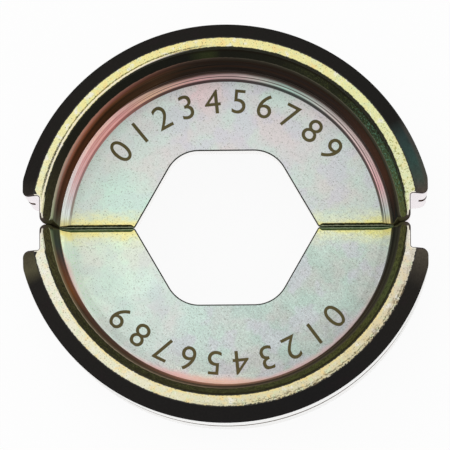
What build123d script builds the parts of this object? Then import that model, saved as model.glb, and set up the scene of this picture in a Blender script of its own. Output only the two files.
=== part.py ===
from build123d import *
import os
from math import radians, tan

# A crimping die in two like halves. Each half is half of a flanged disc: a tall rim round its
# back, and a thin web at mid-height with half of a six-sided nest in its straight edge. The
# halves lie flat, closed on the plane y = 0, with the nest's axis along Z.

# Overall form of one half
outer_radius = 24.85
arc_centre_drop = 1.19      # how far past the split the centre of the round back lies
end_flat_depth = 0.85       # how deep the flat at each end cuts into the round back
thickness = 25.0

# Rim section, from the back inwards
groove_width = 2.7
groove_depth = 1.4
outer_bevel_width = 1.9
outer_bevel_depth = 3.0
land_width = 1.22
land_edge_break = 0.2
inner_bevel_width = 1.25
inner_bevel_depth = 2.7
recess_wall_lean = 0.62     # how far the recess wall leans in from the bevel to the web

# Web
web_thickness = 5.0
recess_fillet = 1.25

# Nest
nest_across_corners = 22.0
nest_flat_height = 9.2      # from the split to the flat
nest_side_angle = 60.0
nest_corner_radius = 4.15
nest_edge_break = 0.15
nest_mouth_round = 0.4

# Ends of the rim at the split
notch_land_width = 0.18     # land left beside the notch, measured from the land's inner edge
notch_height = 3.2
notch_outer_round = 0.8
flat_end_round = 3.0        # where the flat runs into the round back
notch_inner_round = 0.3
tip_round = 0.8
split_edge_round = 0.45

# How far a cutting shape runs past what it cuts
overrun = 2.0

flat_half_width = outer_radius - end_flat_depth
land_outer_radius = outer_radius - outer_bevel_width
land_inner_radius = land_outer_radius - land_width
inner_bevel_radius = land_inner_radius - inner_bevel_width
recess_radius = inner_bevel_radius - recess_wall_lean
notch_half_width = land_inner_radius + notch_land_width
recess_depth = (thickness - web_thickness) / 2
web_top = thickness - recess_depth
mid_height = thickness / 2
reach = outer_radius + overrun


def vertices_at(sketch, places):
    """The sketch's corners that lie at the given plan positions."""
    return [v for v in sketch.vertices() for x, y in places
            if abs(v.X - x) < 1e-4 and abs(v.Y - y) < 1e-4]


def mirrored_section(upper_points):
    """A closed outline from the points above mid-thickness and their mirror images below."""
    lower_points = [(radius, thickness - height) for radius, height in reversed(upper_points)]
    return make_face(Polyline(*upper_points, *lower_points, close=True))


def turned_disc():
    """The flanged disc with its lands, bevels, groove and web, centred past the split."""
    section = mirrored_section([
        (outer_radius - groove_depth, mid_height + groove_width / 2),
        (outer_radius, mid_height + groove_width / 2),
        (outer_radius, thickness - outer_bevel_depth),
        (land_outer_radius, thickness),
        (land_inner_radius, thickness),
        (inner_bevel_radius, thickness - inner_bevel_depth),
        (recess_radius, web_top),
        (0, web_top),
    ])
    land_corners = [(radius, height) for radius in (land_inner_radius, land_outer_radius)
                    for height in (0, thickness)]
    section = chamfer(vertices_at(section, land_corners), land_edge_break)
    web_corners = [(recess_radius, recess_depth), (recess_radius, web_top)]
    section = fillet(vertices_at(section, web_corners), recess_fillet)
    return Pos(0, -arc_centre_drop, 0) * revolve(Plane.XZ * section, Axis.Z, 360)


def disc_half(disc):
    """The disc's half above the split, with the edges of its recesses at the split rounded."""
    half = disc & Pos(0, reach / 2, mid_height) * Box(2 * reach, reach, thickness + overrun)
    split_face = half.faces().sort_by(Axis.Y)[0]
    recess_edges = [edge for edge in split_face.edges()
                    if abs(edge.center().X) < land_inner_radius - land_edge_break]
    return fillet(recess_edges, split_edge_round)


def nest_outline():
    """Half of the six-sided nest, run past the split, with rounded corners and mouths."""
    half_corners = nest_across_corners / 2
    flat_end = half_corners - nest_flat_height / tan(radians(nest_side_angle))
    outline = make_face(Polyline((half_corners, 0), (flat_end, nest_flat_height),
                                 (-flat_end, nest_flat_height), (-half_corners, 0), close=True))
    outline += Pos(0, -overrun / 2) * Rectangle(nest_across_corners + 2 * overrun, overrun)
    for x, y, radius in ((half_corners, 0, nest_mouth_round),
                         (flat_end, nest_flat_height, nest_corner_radius)):
        outline = fillet(vertices_at(outline, [(-x, y), (x, y)]), radius)
    return outline


def notch_outline():
    """What is cut from the plan of one half: all that lies outside its rounded back and ends."""
    flat_top = (outer_radius**2 - flat_half_width**2) ** 0.5 - arc_centre_drop
    plan = Pos(0, -arc_centre_drop) * Circle(outer_radius)
    plan &= Pos(0, reach / 2) * Rectangle(2 * flat_half_width, reach)
    for side in (-1, 1):
        notch_width = reach - notch_half_width
        plan -= (Pos(side * (notch_half_width + notch_width / 2), notch_height / 2)
                 * Rectangle(notch_width, notch_height))
    for x, y, radius in ((flat_half_width, flat_top, flat_end_round),
                         (flat_half_width, notch_height, notch_outer_round),
                         (notch_half_width, notch_height, notch_inner_round),
                         (notch_half_width, 0, tip_round)):
        plan = fillet(vertices_at(plan, [(-x, y), (x, y)]), radius)
    return Pos(0, reach / 2) * Rectangle(2 * reach, reach + 2 * overrun) - plan


def prism(outline):
    """The outline raised through the whole thickness and past both faces."""
    return extrude(Pos(0, 0, -overrun) * outline, thickness + 2 * overrun)


def nest_edge_cut(nest):
    """The nest's outline widened by the edge break where it comes out of the web's upper face."""
    return extrude(Pos(0, 0, web_top - nest_edge_break) * nest, nest_edge_break, taper=-45)


def die_half():
    """One finished half, on the positive side of the split."""
    nest = nest_outline()
    upper_edge_cut = nest_edge_cut(nest)
    lower_edge_cut = mirror(upper_edge_cut, Plane.XY.offset(mid_height))
    half = disc_half(turned_disc()) - prism(notch_outline()) - prism(nest)
    return half - upper_edge_cut - lower_edge_cut


upper_half = die_half()
lower_half = Rot(0, 0, 180) * upper_half

os.makedirs("parts", exist_ok=True)
export_step(upper_half, "parts/upper_die_half.step")
export_step(lower_half, "parts/lower_die_half.step")
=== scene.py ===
import math

import bmesh
import bpy
from mathutils import Matrix, Vector
from mathutils.geometry import delaunay_2d_cdt


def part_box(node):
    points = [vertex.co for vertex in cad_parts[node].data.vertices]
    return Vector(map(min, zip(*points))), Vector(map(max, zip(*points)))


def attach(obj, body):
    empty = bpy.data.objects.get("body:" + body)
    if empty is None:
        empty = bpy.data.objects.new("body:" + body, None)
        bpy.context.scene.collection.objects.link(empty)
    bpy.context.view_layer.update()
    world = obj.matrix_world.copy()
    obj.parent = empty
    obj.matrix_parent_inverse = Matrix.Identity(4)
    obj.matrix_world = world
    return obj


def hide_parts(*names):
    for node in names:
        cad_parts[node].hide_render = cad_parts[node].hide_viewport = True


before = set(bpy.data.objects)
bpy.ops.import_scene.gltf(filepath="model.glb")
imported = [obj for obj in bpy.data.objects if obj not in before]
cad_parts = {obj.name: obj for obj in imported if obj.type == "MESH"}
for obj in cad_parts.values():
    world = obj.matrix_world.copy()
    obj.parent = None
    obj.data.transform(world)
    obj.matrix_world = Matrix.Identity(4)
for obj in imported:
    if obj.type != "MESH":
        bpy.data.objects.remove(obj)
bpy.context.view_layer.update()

bl_info = {
    "name": "Crimping die",
    "version": (1, 0, 0),
    "blender": (4, 5, 0),
    "location": "3D View > Sidebar > Crimping die",
    "description": "Builds a plated crimping die in two halves, its plain numbers and a pale studio",
    "category": "Add Mesh",
}

MM = 0.001
BODY = "root"
UPPER_LOW, UPPER_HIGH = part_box("upper_die_half")

# In millimetres: what the shape and the finishes both follow
ARC_DROP = 1.19
OUTER_BEVEL_WIDTH = 1.9
LAND_WIDTH = 1.22
INNER_BEVEL_WIDTH = 1.25
NOTCH_HEIGHT = 3.2
BACK_RADIUS = UPPER_HIGH.y / MM + ARC_DROP
LAND_RADIUS = BACK_RADIUS - OUTER_BEVEL_WIDTH - LAND_WIDTH
BEVEL_FOOT_RADIUS = LAND_RADIUS - INNER_BEVEL_WIDTH
SEAM_RADIUS = 18.69


def length(label, description, default, low=0.0):
    """A length that shows in the sidebar. Its default is in millimetres."""
    return bpy.props.FloatProperty(name=label, description=description, default=default * MM,
                                   min=low, precision=5, unit="LENGTH", subtype="DISTANCE")


def linear(colour):
    """A colour written as 0 to 255 on a screen, as the linear values that a shader takes."""
    shares = [channel / 255 for channel in colour]
    return [s / 12.92 if s <= 0.04045 else ((s + 0.055) / 1.055) ** 2.4 for s in shares]


def opaque(colour):
    """A screen colour, or a linear one from the sidebar, as what a socket takes."""
    return (*(linear(colour) if max(colour) > 1.5 else colour), 1.0)


def tint(label, description, colour):
    """A colour that shows in the sidebar."""
    return bpy.props.FloatVectorProperty(name=label, description=description, subtype="COLOR",
                                         size=3, min=0.0, max=1.0, default=linear(colour))


class DieSectionSizes(bpy.types.PropertyGroup):
    """Sizes of the section that each half is turned to"""

    outer_radius: length("Outer radius", "Radius of the round back", BACK_RADIUS)
    arc_drop: length("Arc centre drop", "How far past the split the round back is centred", ARC_DROP)
    thickness: length("Thickness", "Height from land to land", (UPPER_HIGH.z - UPPER_LOW.z) / MM)
    groove_width: length("Groove width", "Width of the groove round the back", 2.7)
    groove_depth: length("Groove depth", "Depth of the groove round the back", 1.4)
    outer_bevel_width: length("Outer bevel width", "Outer bevel, along the radius", OUTER_BEVEL_WIDTH)
    outer_bevel_depth: length("Outer bevel depth", "Outer bevel, along the axis", 3.0)
    land_width: length("Land width", "Width of the flat land on the rim", LAND_WIDTH)
    inner_bevel_width: length("Inner bevel width", "Inner bevel, along the radius", INNER_BEVEL_WIDTH)
    inner_bevel_depth: length("Inner bevel depth", "Inner bevel, along the axis", 2.7)
    wall_lean: length("Wall lean", "How far the recess wall leans in towards the web", 0.62)
    web_thickness: length("Web thickness", "Thickness of the web", 5.0)
    recess_fillet: length("Recess fillet", "Radius between the recess wall and the web", 1.25)
    corner_round: length("Corner round", "Radius of the turned corners of the rim", 0.2)
    foot_round: length("Bevel foot round", "Radius between inner bevel and wall", 0.8)


class DieEndSizes(bpy.types.PropertyGroup):
    """Sizes of the nest and of the rim's ends at the split"""

    across_corners: length("Nest across corners", "Width of the nest along the split", 22.0)
    flat_height: length("Nest flat height", "From the split to the nest's flat", 9.2)
    corner_radius: length("Nest corner radius", "Radius of the nest's corners", 4.15)
    mouth_round: length("Nest mouth round", "Radius where the nest meets the split", 0.4)
    nest_edge: length("Nest edge round", "Rounding of the nest's edges", 0.15)
    notch_half_width: length("Notch half width", "From the middle to the notch wall", 21.91)
    notch_height: length("Notch height", "From the split to the notch's end", NOTCH_HEIGHT)
    notch_outer_round: length("Notch outer round", "Radius from notch to flat", 0.8)
    flat_half_width: length("Flat half width", "From the middle to the flat", UPPER_HIGH.x / MM)
    flat_end_round: length("Flat end round", "Radius from the flat to the round back", 3.0)
    notch_inner_round: length("Notch inner round", "Radius in the notch's corner", 0.3)
    tip_round: length("Tip round", "Radius of the rim's tips at the split", 0.8)
    split_round: length("Split edge round", "Rounding of the web's edges at the split", 0.45)
    wall_round: length("Wall edge round", "The same at the foot of the recess wall", 0.2)
    brow_round: length("Brow edge round", "The same at the foot of the inner bevel", 0.6)
    rim_edge: length("Rim edge round", "Rounding of the land's edges at the notches", 0.19)
    back_edge: length("Back edge round", "The same at the round back", 0.05)


class TurningMarks(bpy.types.PropertyGroup):
    """The fine ridges that the turning tool leaves in the recess"""

    pitch: length("Ridge pitch", "Distance from ridge to ridge", 0.45)
    height: length("Ridge height", "Height of a ridge", 0.012)
    lead: length("Ridge lead", "From the foot of the fillet to the first ridge", 0.25)
    run_out: length("Ridge run-out", "How far up the wall the ridges go on", 1.4)


class NumberSizes(bpy.types.PropertyGroup):
    """The plain numbers round the web"""

    text: bpy.props.StringProperty(name="Numbers", description="The plain numbers in their order",
                                   default="0123456789")
    height: length("Number height", "Height of a number", 2.75)
    upper_radius: length("Upper radius", "Radius of the upper numbers' feet", 14.92)
    lower_radius: length("Lower radius", "Radius of the lower numbers' feet", 16.0)
    run: length("Run", "Length of a row along its arc, at half its height", 28.6)
    rise: length("Rise", "Thickness of the numbers", 0.012)
    sink: length("Sink", "How deep the numbers' feet lie in the web", 0.002)


class DieColours(bpy.types.PropertyGroup):
    """The main colours of the plating"""

    web: tint("Web", "Clear plating on the web of the upper half", (213, 214, 212))
    mint: tint("Mint", "Green cast of the plating", (202, 225, 214))
    pink: tint("Pink", "Pink cast of the plating", (228, 203, 204))
    yellow: tint("Yellow", "Yellow cast of the plating beside the split", (234, 238, 194))
    steel: tint("Steel", "Bright plated steel on the round back", (246, 246, 243))
    # Black is a painted dark reflection on the lands' outer edges and outer corners, the same dark as
    # the outer bevel's.
    black: tint("Black", "Darkened edges of the lands", (34, 32, 30))
    numbers: tint("Numbers", "Burnt marks on the web", (104, 96, 66))


class StudioSettings(bpy.types.PropertyGroup):
    """The floor, the light and the camera"""

    floor_size: length("Floor size", "Side of the square floor", 6000.0)
    sky: bpy.props.FloatProperty(name="Sky", description="Strength of the white surroundings",
                                 default=0.74, min=0.0)
    key: bpy.props.FloatProperty(name="Key light", description="Power of the soft box above",
                                 default=4.6, min=0.0, unit="POWER")
    near_distance: length("Camera distance", "From the camera to the lands' plane", 720.0)


SETTINGS = {
    "die_section": DieSectionSizes,
    "die_ends": DieEndSizes,
    "die_turning": TurningMarks,
    "die_numbers": NumberSizes,
    "die_colours": DieColours,
    "die_studio": StudioSettings,
}


# Lines in a plane

class PlaneLine:
    """A line of straight runs and arcs in a plane, read by the distance along it."""

    def __init__(self):
        self.runs = []
        self.length = 0.0

    def add(self, span, place):
        """Adds a run of a length, with the function that places a point along it."""
        self.runs.append((self.length, span, place))
        self.length += span

    def straight(self, start, end):
        """Adds a straight run."""
        direction = (end - start).normalized()
        self.add((end - start).length, lambda s: (start + direction * s, direction))

    def arc(self, centre, start, end):
        """Adds an arc of less than half a turn round a centre."""
        arm = start - centre
        turn = arm.angle_signed(end - centre)
        radius = arm.length
        side = 1 if turn > 0 else -1

        def place(s):
            """The point on the arc and the direction of travel there."""
            angle = side * s / radius
            spoke = Vector((arm.x * math.cos(angle) + arm.y * math.sin(angle),
                            arm.y * math.cos(angle) - arm.x * math.sin(angle)))
            return centre + spoke, side * Vector((spoke.y, -spoke.x)) / radius

        self.add(abs(turn) * radius, place)

    def start(self, run):
        """Distance at which a run starts."""
        return self.runs[run][0]

    def middle(self, run):
        """Distance at which a run is half over."""
        return self.runs[run][0] + self.runs[run][1] / 2

    def end(self, run):
        """Distance at which a run ends."""
        return self.runs[run][0] + self.runs[run][1]

    def places(self, run, steps):
        """Distances that part a run into even steps, its ends included."""
        start, span, _ = self.runs[run]
        return [start + span * k / steps for k in range(steps + 1)]

    def at(self, distance):
        """The point at a distance along the line, and the unit vector to the left of travel."""
        distance = min(max(distance, 0.0), self.length)
        for start, span, place in self.runs:
            if distance <= start + span:
                break
        point, direction = place(min(distance - start, span))
        return point, Vector((-direction.y, direction.x))


def rounded_line(corners):
    """A line through corners given as x, y and radius, with each corner but the ends rounded."""
    line = PlaneLine()
    here = Vector(corners[0][:2])
    for before, corner, after in zip(corners, corners[1:], corners[2:]):
        point = Vector(corner[:2])
        back = (Vector(before[:2]) - point).normalized()
        ahead = (Vector(after[:2]) - point).normalized()
        half_angle = back.angle(ahead) / 2
        reach = corner[2] / math.tan(half_angle)
        line.straight(here, point + back * reach)
        centre = point + (back + ahead).normalized() * corner[2] / math.sin(half_angle)
        line.arc(centre, point + back * reach, point + ahead * reach)
        here = point + ahead * reach
    line.straight(here, Vector(corners[-1][:2]))
    return line


# Runs of the section, from the web to the groove
(WEB, FILLET, WALL, BROW, INNER_BEVEL, LAND_INNER_CORNER, LAND, LAND_OUTER_CORNER, OUTER_BEVEL,
 BACK_CORNER, BACK, GROOVE_LIP) = range(12)

# Runs of the plan's edge, from the round back to the nest
(FLAT_END, FLAT, OUTER_ROUND, NOTCH_END, INNER_ROUND, NOTCH_WALL, TIP, SPLIT, MOUTH, NEST_SIDE,
 NEST_CORNER, NEST_FLAT) = range(12)
PLAN_ARCS = (FLAT_END, OUTER_ROUND, INNER_ROUND, TIP)


def section_line(sizes):
    """The section's upper half by radius and height over mid-thickness, from web to groove."""
    top = sizes.thickness / 2
    web = sizes.web_thickness / 2
    groove = sizes.groove_width / 2
    back = sizes.outer_radius
    land_outer = back - sizes.outer_bevel_width
    land_inner = land_outer - sizes.land_width
    bevel_foot = land_inner - sizes.inner_bevel_width
    recess = bevel_foot - sizes.wall_lean
    corner = sizes.corner_round
    lip_round = 0.6 * corner
    groove_round = 1.5 * corner
    web_run = 1.6 * MM
    return rounded_line([
        (recess - web_run, web),
        (recess, web, sizes.recess_fillet),
        (bevel_foot, top - sizes.inner_bevel_depth, sizes.foot_round),
        (land_inner, top, corner),
        (land_outer, top, corner),
        (back, top - sizes.outer_bevel_depth, corner),
        (back, groove, lip_round),
        (back - sizes.groove_depth, groove, groove_round),
        (back - sizes.groove_depth, 0),
    ])


def plan_line(section, ends):
    """The plan's edge on the right, from the back round its flat, the notch, tip, split and nest."""
    reach = section.outer_radius - ends.flat_end_round
    centre_x = ends.flat_half_width - ends.flat_end_round
    centre = Vector((centre_x, math.sqrt(reach ** 2 - centre_x ** 2) - section.arc_drop))
    outward = Vector((centre.x, centre.y + section.arc_drop)).normalized()
    flat_top = Vector((ends.flat_half_width, centre.y))
    half_corners = ends.across_corners / 2
    flat_end = half_corners - ends.flat_height / math.sqrt(3)
    straights = rounded_line([
        (flat_top.x, flat_top.y),
        (ends.flat_half_width, ends.notch_height, ends.notch_outer_round),
        (ends.notch_half_width, ends.notch_height, ends.notch_inner_round),
        (ends.notch_half_width, 0, ends.tip_round),
        (half_corners, 0, ends.mouth_round),
        (flat_end, ends.flat_height, ends.corner_radius),
        (0, ends.flat_height),
    ])
    line = PlaneLine()
    line.arc(centre, centre + outward * ends.flat_end_round, flat_top)
    for _, span, place in straights.runs:
        line.add(span, place)
    return line


# The shell of one half

ZONES = ("web", "fillet", "wall", "inner_bevel", "land", "outer_bevel", "back", "groove",
         "split_edge", "rim_edge", "end_face", "nest_edge", "nest_wall")
UPWARDS = Vector((0, 0, 1))

# In metres: points that lie closer than this are one point
SAME_PLACE = 2e-8


class Shell:
    """Points and faces of one half, each point with its normal and its place on the section."""

    def __init__(self):
        self.points = []
        self.normals = []
        self.marks = []
        self.faces = []
        self.zones = []

    def point(self, place, normal, section, edge):
        """Adds a point and gives its number."""
        self.points.append(Vector(place))
        self.normals.append(Vector(normal))
        self.marks.append((section, edge))
        return len(self.points) - 1

    def face(self, corners, zone):
        """Adds a face, turned so that it looks the way that its points' normals do."""
        first, second, third = (self.points[k] for k in corners[:3])
        across = (third - first).cross(self.points[corners[-1]] - second)
        if len(corners) == 3:
            across = (second - first).cross(third - first)
        outward = sum((self.normals[k] for k in corners), Vector((0, 0, 0)))
        if across.dot(outward) < 0:
            corners = tuple(reversed(corners))
        self.faces.append(tuple(corners))
        self.zones.append(ZONES.index(zone))

    def strips(self, rows, zone_of):
        """Joins rows of points into quads."""
        for j, (first, second) in enumerate(zip(rows, rows[1:])):
            for i in range(len(first) - 1):
                self.face((first[i], first[i + 1], second[i + 1], second[i]), zone_of(j, i))

    def mirror(self, axis):
        """Adds the mirror image across the plane where an axis is 0."""
        count, face_count = len(self.points), len(self.faces)
        for k in range(count):
            place, normal = self.points[k].copy(), self.normals[k].copy()
            place[axis] = -place[axis]
            normal[axis] = -normal[axis]
            self.point(place, normal, *self.marks[k])
        for k in range(face_count):
            self.faces.append(tuple(corner + count for corner in reversed(self.faces[k])))
            self.zones.append(self.zones[k])

    def fill(self, border, flat, uprights, zone):
        """Fills a flat or rolled-out outline with triangles."""
        scale = 1 / MM
        nearest = 1e-7
        count = len(flat)
        edges = [(k, (k + 1) % count) for k in range(count)] + uprights
        result = delaunay_2d_cdt([spot * scale for spot in flat], edges, [], 1, nearest)
        numbers = [border[source[0]] for source in result[3]]
        for face in result[2]:
            self.face([numbers[k] for k in face], zone)


def between(first, second, share):
    """A unit vector part of the way round from one unit vector to another."""
    angle = first.angle(second, 0.0)
    if angle < 1e-6:
        return first.copy()
    return (first * math.sin((1 - share) * angle) + second * math.sin(share * angle)) / math.sin(angle)


def turned(flat, angle):
    """A point or direction of the section, turned to an angle round the axis."""
    return Vector((flat.x * math.cos(angle), flat.x * math.sin(angle), flat.y))


def solve(function, low, high):
    """Where a rising function of one number crosses zero between two bounds."""
    for _ in range(48):
        middle = (low + high) / 2
        if function(middle) > 0:
            high = middle
        else:
            low = middle
    return (low + high) / 2


class HalfShape:
    """Works out where the turned surface, its rounded edges and the plan's edge meet."""

    edge_steps = 6
    column_steps = 84
    arc_steps = 8
    fillet_row = 0.04 * MM
    ridge_row = 0.045 * MM
    ridge_reach = 2.2 * MM
    plain_row = 0.8 * MM
    short_run = 0.6 * MM
    short_run_steps = 4
    land_margin = 0.15 * MM
    closest_rows = 0.012 * MM

    def __init__(self, section_sizes, end_sizes):
        self.section_sizes = section_sizes
        self.end_sizes = end_sizes
        self.section = section_line(section_sizes)
        self.plan = plan_line(section_sizes, end_sizes)
        self.centre = Vector((0, -section_sizes.arc_drop))
        self.land_start = self.section.start(LAND_INNER_CORNER)
        self.land_end = self.section.end(LAND_OUTER_CORNER)

    def edge_radius(self, distance):
        """The rounding of the rim's end, by the distance along the section."""
        ends = self.end_sizes
        stops = (
            (self.section.start(FILLET), ends.split_round),
            (self.section.start(WALL), ends.wall_round),
            (self.section.start(BROW), ends.brow_round),
            (self.land_start, ends.rim_edge),
            (self.land_end, ends.rim_edge),
            (self.section.start(BACK_CORNER), ends.back_edge),
        )
        for (start, first), (end, second) in zip(stops, stops[1:]):
            if distance < end:
                share = max(distance - start, 0.0) / (end - start)
                return first + (second - first) * share
        return ends.back_edge

    def contact(self, distance):
        """The place on the plan's edge where the row at this distance along the section ends."""
        point, normal = self.section.at(distance)
        radius = self.edge_radius(distance)
        wanted = point.x - radius * normal.x

        def shortfall(t):
            """How far a ball on the plan's edge at t is inside the row's own ball."""
            place, outward = self.plan.at(t)
            return wanted - (place - radius * outward - self.centre).length

        return solve(shortfall, 0.0, self.plan.end(SPLIT))

    def arc_rows(self):
        """Distances along the section of the rows that end on the places of the plan's arcs."""
        rows = []
        for arc in PLAN_ARCS:
            for t in self.plan.places(arc, self.arc_steps):
                if t <= 0:
                    continue
                rows.append(solve(lambda s: t - self.contact(s), 0.0, self.section.start(BACK)))
                if arc in (FLAT_END, OUTER_ROUND):
                    lip = self.section.start(GROOVE_LIP)
                    rows.append(solve(lambda s: self.contact(s) - t, lip, self.section.length))
        return rows

    def row_distances(self):
        """Distances along the section for the rows, with one row for each place on the arcs."""
        rows = [0.0]
        for run, (_, span, _) in enumerate(self.section.runs):
            steps = max(2, math.ceil(span / self.plain_row))
            if run <= FILLET:
                steps = math.ceil(span / self.fillet_row)
            elif span < self.short_run:
                steps = self.short_run_steps
            rows += self.section.places(run, steps)[1:]
        wall = self.section.start(WALL)
        rows += [wall + self.ridge_row * k for k in range(int(self.ridge_reach / self.ridge_row))]
        rows += [self.land_start - self.land_margin, self.land_end + self.land_margin]
        chosen = self.arc_rows()
        rows = [s for s in rows if all(abs(s - c) > self.closest_rows for c in chosen)]
        return sorted(set(rows + chosen))

    def zone(self, distance):
        """The zone of the turned surface at a distance along the section."""
        hair = 0.001 * MM
        borders = (
            ("web", self.section.start(FILLET)),
            ("fillet", self.section.start(WALL)),
            ("wall", self.section.middle(BROW)),
            ("inner_bevel", self.land_start - self.land_margin - hair),
            ("land", self.land_end + self.land_margin - hair),
            ("outer_bevel", self.section.middle(BACK_CORNER)),
            ("back", self.section.middle(GROOVE_LIP)),
        )
        return next((zone for zone, end in borders if distance < end), "groove")


def half_shell(shape, mid_height):
    """The shell of the upper half, from one quarter of it and its mirror images."""
    shell = Shell()
    rows, ends = [], []
    distances = shape.row_distances()
    for distance in distances:
        point, normal = shape.section.at(distance)
        radius = shape.edge_radius(distance)
        t = shape.contact(distance)
        place, outward = shape.plan.at(t)
        ball = place - radius * outward
        arm = ball - shape.centre
        start = math.atan2(arm.y, arm.x)
        ball_height = point.y - radius * normal.y
        row = []
        for k in range(shape.edge_steps, 0, -1):
            share = k / shape.edge_steps
            direction = between(turned(normal, start), outward.to_3d(), share)
            spot = Vector((ball.x, ball.y, ball_height)) + radius * direction
            row.append(shell.point(spot, direction, distance, share))
        ends.append((t, ball_height, row[0]))
        for k in range(shape.column_steps + 1):
            angle = start + (math.pi / 2 - start) * k / shape.column_steps
            spot = turned(point, angle) + shape.centre.to_3d()
            row.append(shell.point(spot, turned(normal, angle), distance, 0.0))
        rows.append(row)

    def skin_zone(j, i):
        """Zone of a quad of the turned surface or of its rounded end."""
        middle = (distances[j] + distances[j + 1]) / 2
        if i >= shape.edge_steps:
            return shape.zone(middle)
        return "split_edge" if middle < shape.section.start(BROW) else "rim_edge"

    shell.strips(rows, skin_zone)
    web_rows = nest_strip(shape, shell, ends[0][0], rows[0][:shape.edge_steps + 1])
    border = rows[0][shape.edge_steps:] + [row[-1] for row in reversed(web_rows[1:])]
    shell.fill(border, [shell.points[k].xy for k in border], [], "web")
    end_face(shape, shell, ends, web_rows[0][0])
    shell.mirror(2)
    shell.mirror(0)
    for point in shell.points:
        point.z += mid_height
    return shell


def nest_strip(shape, shell, first_t, first_row):
    """The web's edge along the split and the nest: wall, rounding and the web's border."""
    web = shape.section_sizes.web_thickness / 2
    ends = shape.end_sizes
    plan = shape.plan
    fade_start = plan.start(MOUTH) - 0.3 * MM
    fade_end = plan.end(MOUTH)
    places = [first_t]
    for start, end, steps in ((first_t, fade_start, 12), (fade_start, plan.start(MOUTH), 6)):
        places += [start + (end - start) * (k + 1) / steps for k in range(steps)]
    for run, steps in ((MOUTH, 8), (NEST_SIDE, 14), (NEST_CORNER, 20), (NEST_FLAT, 10)):
        places += plan.places(run, steps)[1:]
    rows = []
    for t in places:
        place, outward = plan.at(t)
        share = min(max((t - fade_start) / (fade_end - fade_start), 0.0), 1.0)
        share = share * share * (3 - 2 * share)
        radius = ends.split_round + (ends.nest_edge - ends.split_round) * share
        row = [shell.point(place.to_3d(), outward.to_3d(), 0.0, 1.0)]
        if t == first_t:
            rows.append(row + list(first_row))
            continue
        ball = Vector((place.x, place.y, web)) - radius * (outward.to_3d() + UPWARDS)
        for k in range(shape.edge_steps, -1, -1):
            share = k / shape.edge_steps
            direction = between(UPWARDS, outward.to_3d(), share)
            row.append(shell.point(ball + radius * direction, direction, 0.0, share))
        rows.append(row)

    def strip_zone(j, i):
        """Zone of a quad along the web's edge."""
        at_split = places[j + 1] <= plan.middle(MOUTH)
        if i == 0:
            return "end_face" if at_split else "nest_wall"
        return "split_edge" if at_split else "nest_edge"

    shell.strips(rows, strip_zone)
    return rows


def end_face(shape, shell, ends, web_foot):
    """The upright end of the rim: the split, the tip, the notch's wall and its end."""
    border = [number for _, _, number in ends]
    flat = [Vector((t, height)) for t, height, _ in ends]
    first_t, last_t = ends[0][0], ends[-1][0]
    foot = [t for arc in (INNER_ROUND, TIP) for t in shape.plan.places(arc, shape.arc_steps)]
    for t in sorted(t for t in foot if t > last_t):
        place, outward = shape.plan.at(t)
        border.append(shell.point(place.to_3d(), outward.to_3d(), 0.0, 1.0))
        flat.append(Vector((t, 0)))
    border.append(web_foot)
    flat.append(Vector((first_t, 0)))
    uprights = []
    for arc in PLAN_ARCS:
        for t in shape.plan.places(arc, shape.arc_steps):
            same = [k for k, spot in enumerate(flat) if abs(spot.x - t) < SAME_PLACE and k]
            same.sort(key=lambda k: -flat[k].y)
            uprights += [(same[0], same[1])] if len(same) == 2 else []
    shell.fill(border, flat, uprights, "end_face")


def shell_mesh(name, shell, half_turn):
    """A mesh from the shell, turned half way round for the lower half."""
    turn = -1 if half_turn else 1
    mesh = bpy.data.meshes.new(name)
    mesh.from_pydata([(turn * p.x, turn * p.y, p.z) for p in shell.points], [], shell.faces)
    normals = [c for n in shell.normals for c in (turn * n.x, turn * n.y, n.z)]
    for label, kind, domain, key, values in (
            ("zone", "INT", "FACE", "value", shell.zones),
            ("section", "FLOAT", "POINT", "value", [section / MM for section, _ in shell.marks]),
            ("edge", "FLOAT", "POINT", "value", [edge for _, edge in shell.marks]),
            ("true_normal", "FLOAT_VECTOR", "POINT", "vector", normals)):
        mesh.attributes.new(label, kind, domain).data.foreach_set(key, values)
    work = bmesh.new()
    work.from_mesh(mesh)
    bmesh.ops.remove_doubles(work, verts=work.verts, dist=SAME_PLACE)
    bmesh.ops.dissolve_degenerate(work, edges=work.edges, dist=SAME_PLACE / 2)
    bmesh.ops.triangulate(work, faces=[f for f in work.faces if len(f.verts) > 4])
    work.to_mesh(mesh)
    work.free()
    return mesh


# Node trees

class Value:
    """A number in a node tree, which can be written into sums."""

    def __init__(self, tree, socket):
        self.tree = tree
        self.socket = socket

    def __add__(self, other):
        return self.tree.math("ADD", self, other)

    def __radd__(self, other):
        return self.tree.math("ADD", other, self)

    def __sub__(self, other):
        return self.tree.math("SUBTRACT", self, other)

    def __rsub__(self, other):
        return self.tree.math("SUBTRACT", other, self)

    def __mul__(self, other):
        return self.tree.math("MULTIPLY", self, other)

    def __truediv__(self, other):
        return self.tree.math("DIVIDE", self, other)

    def at_least(self, low):
        """The larger of this and another number."""
        return self.tree.math("MAXIMUM", self, low)

    def at_most(self, high):
        """The smaller of this and another number."""
        return self.tree.math("MINIMUM", self, high)

    def ease(self, start, end):
        """Rises smoothly from 0 to 1 as this goes from start to end."""
        inputs = {"Value": self, "From Min": start, "From Max": end}
        return self.tree.number("ShaderNodeMapRange", inputs, interpolation_type="SMOOTHSTEP")

    def band(self, low, high, soft):
        """1 between two values and 0 outside them, with soft borders."""
        return (self - low).ease(-soft, soft) * (self - high).ease(soft, -soft)

    def blend(self, first, second):
        """The first number where this is 0, the second where it is 1, and a mixture in between."""
        return first + self * (second - first)


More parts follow.
